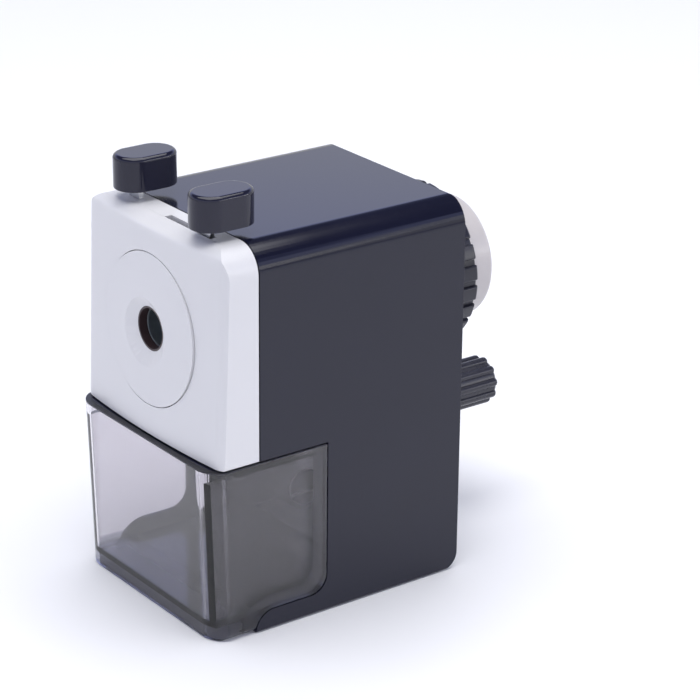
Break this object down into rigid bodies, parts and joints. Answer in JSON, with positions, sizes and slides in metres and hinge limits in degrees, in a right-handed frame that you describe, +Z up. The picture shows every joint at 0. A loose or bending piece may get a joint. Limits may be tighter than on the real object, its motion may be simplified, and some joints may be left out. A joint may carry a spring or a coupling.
{
  "type": "hand-crank pencil sharpener",
  "caption": "Desk pencil sharpener with a helical cutter turned by a rear crank, a spring-fed front plate with squeeze-open jaws, and a shavings drawer.",
  "frame": {"origin": "on the table, at the middle of the bounding box's bottom face", "axes": "+X across the width, +Y from the pencil side to the crank side, +Z up"},
  "size_m": [0.068, 0.1308, 0.1247],
  "materials": {
    "black_plastic": "glossy black moulded plastic",
    "satin_black": "satin black moulded plastic",
    "white_plastic": "semi-gloss white plastic",
    "smoke_plastic": "smoked transparent plastic",
    "dark_bush": "dark brown acetal",
    "steel": "plain pressed and turned steel",
    "cutter_steel": "ground tool steel",
    "die_cast": "die-cast carrier",
    "copper_wire": "copper-coated spring wire",
    "brass": "sintered bearing brass",
    "rubber": "soft black rubber"
  },
  "bodies": {
    "housing": {"body_shell": "black_plastic", "base_cover": "satin_black", "base_screws": "steel", "foot_front_left": "rubber", "foot_front_right": "rubber", "foot_rear_left": "rubber", "foot_rear_right": "rubber", "clamp_sleeve": "steel", "gear_cup": "white_plastic", "rear_bushing": "brass"},
    "drawer": {"drawer": "smoke_plastic"},
    "front": {"front_plate": "white_plastic", "front_disc": "white_plastic", "hole_ring": "dark_bush", "hole_bush": "steel", "jaw_guide": "steel", "guide_screws": "steel", "return_spring": "copper_wire", "guide_rod_left": "steel", "guide_rod_right": "steel", "rod_clip_left": "steel", "rod_clip_right": "steel", "feed_spring_left": "steel", "feed_spring_right": "steel", "key_left": "satin_black"},
    "squeeze": {"cam_ring": "steel", "key_right": "satin_black"},
    "top_jaw": {"jaw_top": "steel"},
    "left_jaw": {"jaw_left": "steel"},
    "right_jaw": {"jaw_right": "steel"},
    "spindle": {"carrier": "die_cast", "crank": "white_plastic", "crank_screw": "steel", "grip_pin": "steel", "cutter_axle": "steel"},
    "grip": {"grip": "satin_black"},
    "cutter": {"cutter": "cutter_steel", "cutter_pinion": "steel"},
    "lock": {"lock_ring": "satin_black"}
  },
  "joints": [
    {"name": "drawer_slide", "type": "slide", "parent": "housing", "child": "drawer", "axis": [0, -1, 0], "range_m": [0, 0.05]},
    {"name": "front_pull", "type": "slide", "parent": "housing", "child": "front", "axis": [0, -1, 0], "range_m": [0, 0.038], "stiffness_N_per_m": 60, "springref_m": -0.03, "deforming": ["feed_spring_left", "feed_spring_right"]},
    {"name": "key_squeeze", "type": "hinge", "parent": "front", "child": "squeeze", "pos_m": [0, -0.0546, 0.0815], "axis": [0, -1, 0], "range_deg": [0, 24], "stiffness_Nm_per_rad": 0.05, "springref_deg": -22.92, "deforming": ["return_spring"]},
    {"name": "jaw_top_slide", "type": "slide", "parent": "front", "child": "top_jaw", "axis": [0, 0, 1], "range_m": [0, 0.0035]},
    {"name": "jaw_left_slide", "type": "slide", "parent": "front", "child": "left_jaw", "axis": [-0.866, 0, -0.5], "range_m": [0, 0.0035]},
    {"name": "jaw_right_slide", "type": "slide", "parent": "front", "child": "right_jaw", "axis": [0.866, 0, -0.5], "range_m": [0, 0.0035]},
    {"name": "crank_turn", "type": "hinge", "parent": "housing", "child": "spindle", "pos_m": [0, 0, 0.0815], "axis": [0, 1, 0], "continuous": true},
    {"name": "cutter_spin", "type": "hinge", "parent": "spindle", "child": "cutter", "pos_m": [0, 0.0014, 0.08807], "axis": [0, 0.9833, -0.1822], "continuous": true},
    {"name": "grip_spin", "type": "hinge", "parent": "spindle", "child": "grip", "pos_m": [-0.01125, 0.0544, 0.03278], "axis": [0, 1, 0], "continuous": true},
    {"name": "lock_turn", "type": "hinge", "parent": "housing", "child": "lock", "pos_m": [0, 0.0264, 0.0815], "axis": [0, 1, 0], "range_deg": [0, 40]}
  ],
  "couplings": [
    {"joint": "jaw_top_slide", "follows": "key_squeeze", "m_per_rad": 0.0081169},
    {"joint": "jaw_left_slide", "follows": "key_squeeze", "m_per_rad": 0.0081169},
    {"joint": "jaw_right_slide", "follows": "key_squeeze", "m_per_rad": 0.0081169},
    {"joint": "cutter_spin", "follows": "crank_turn", "ratio": -2}
  ]
}
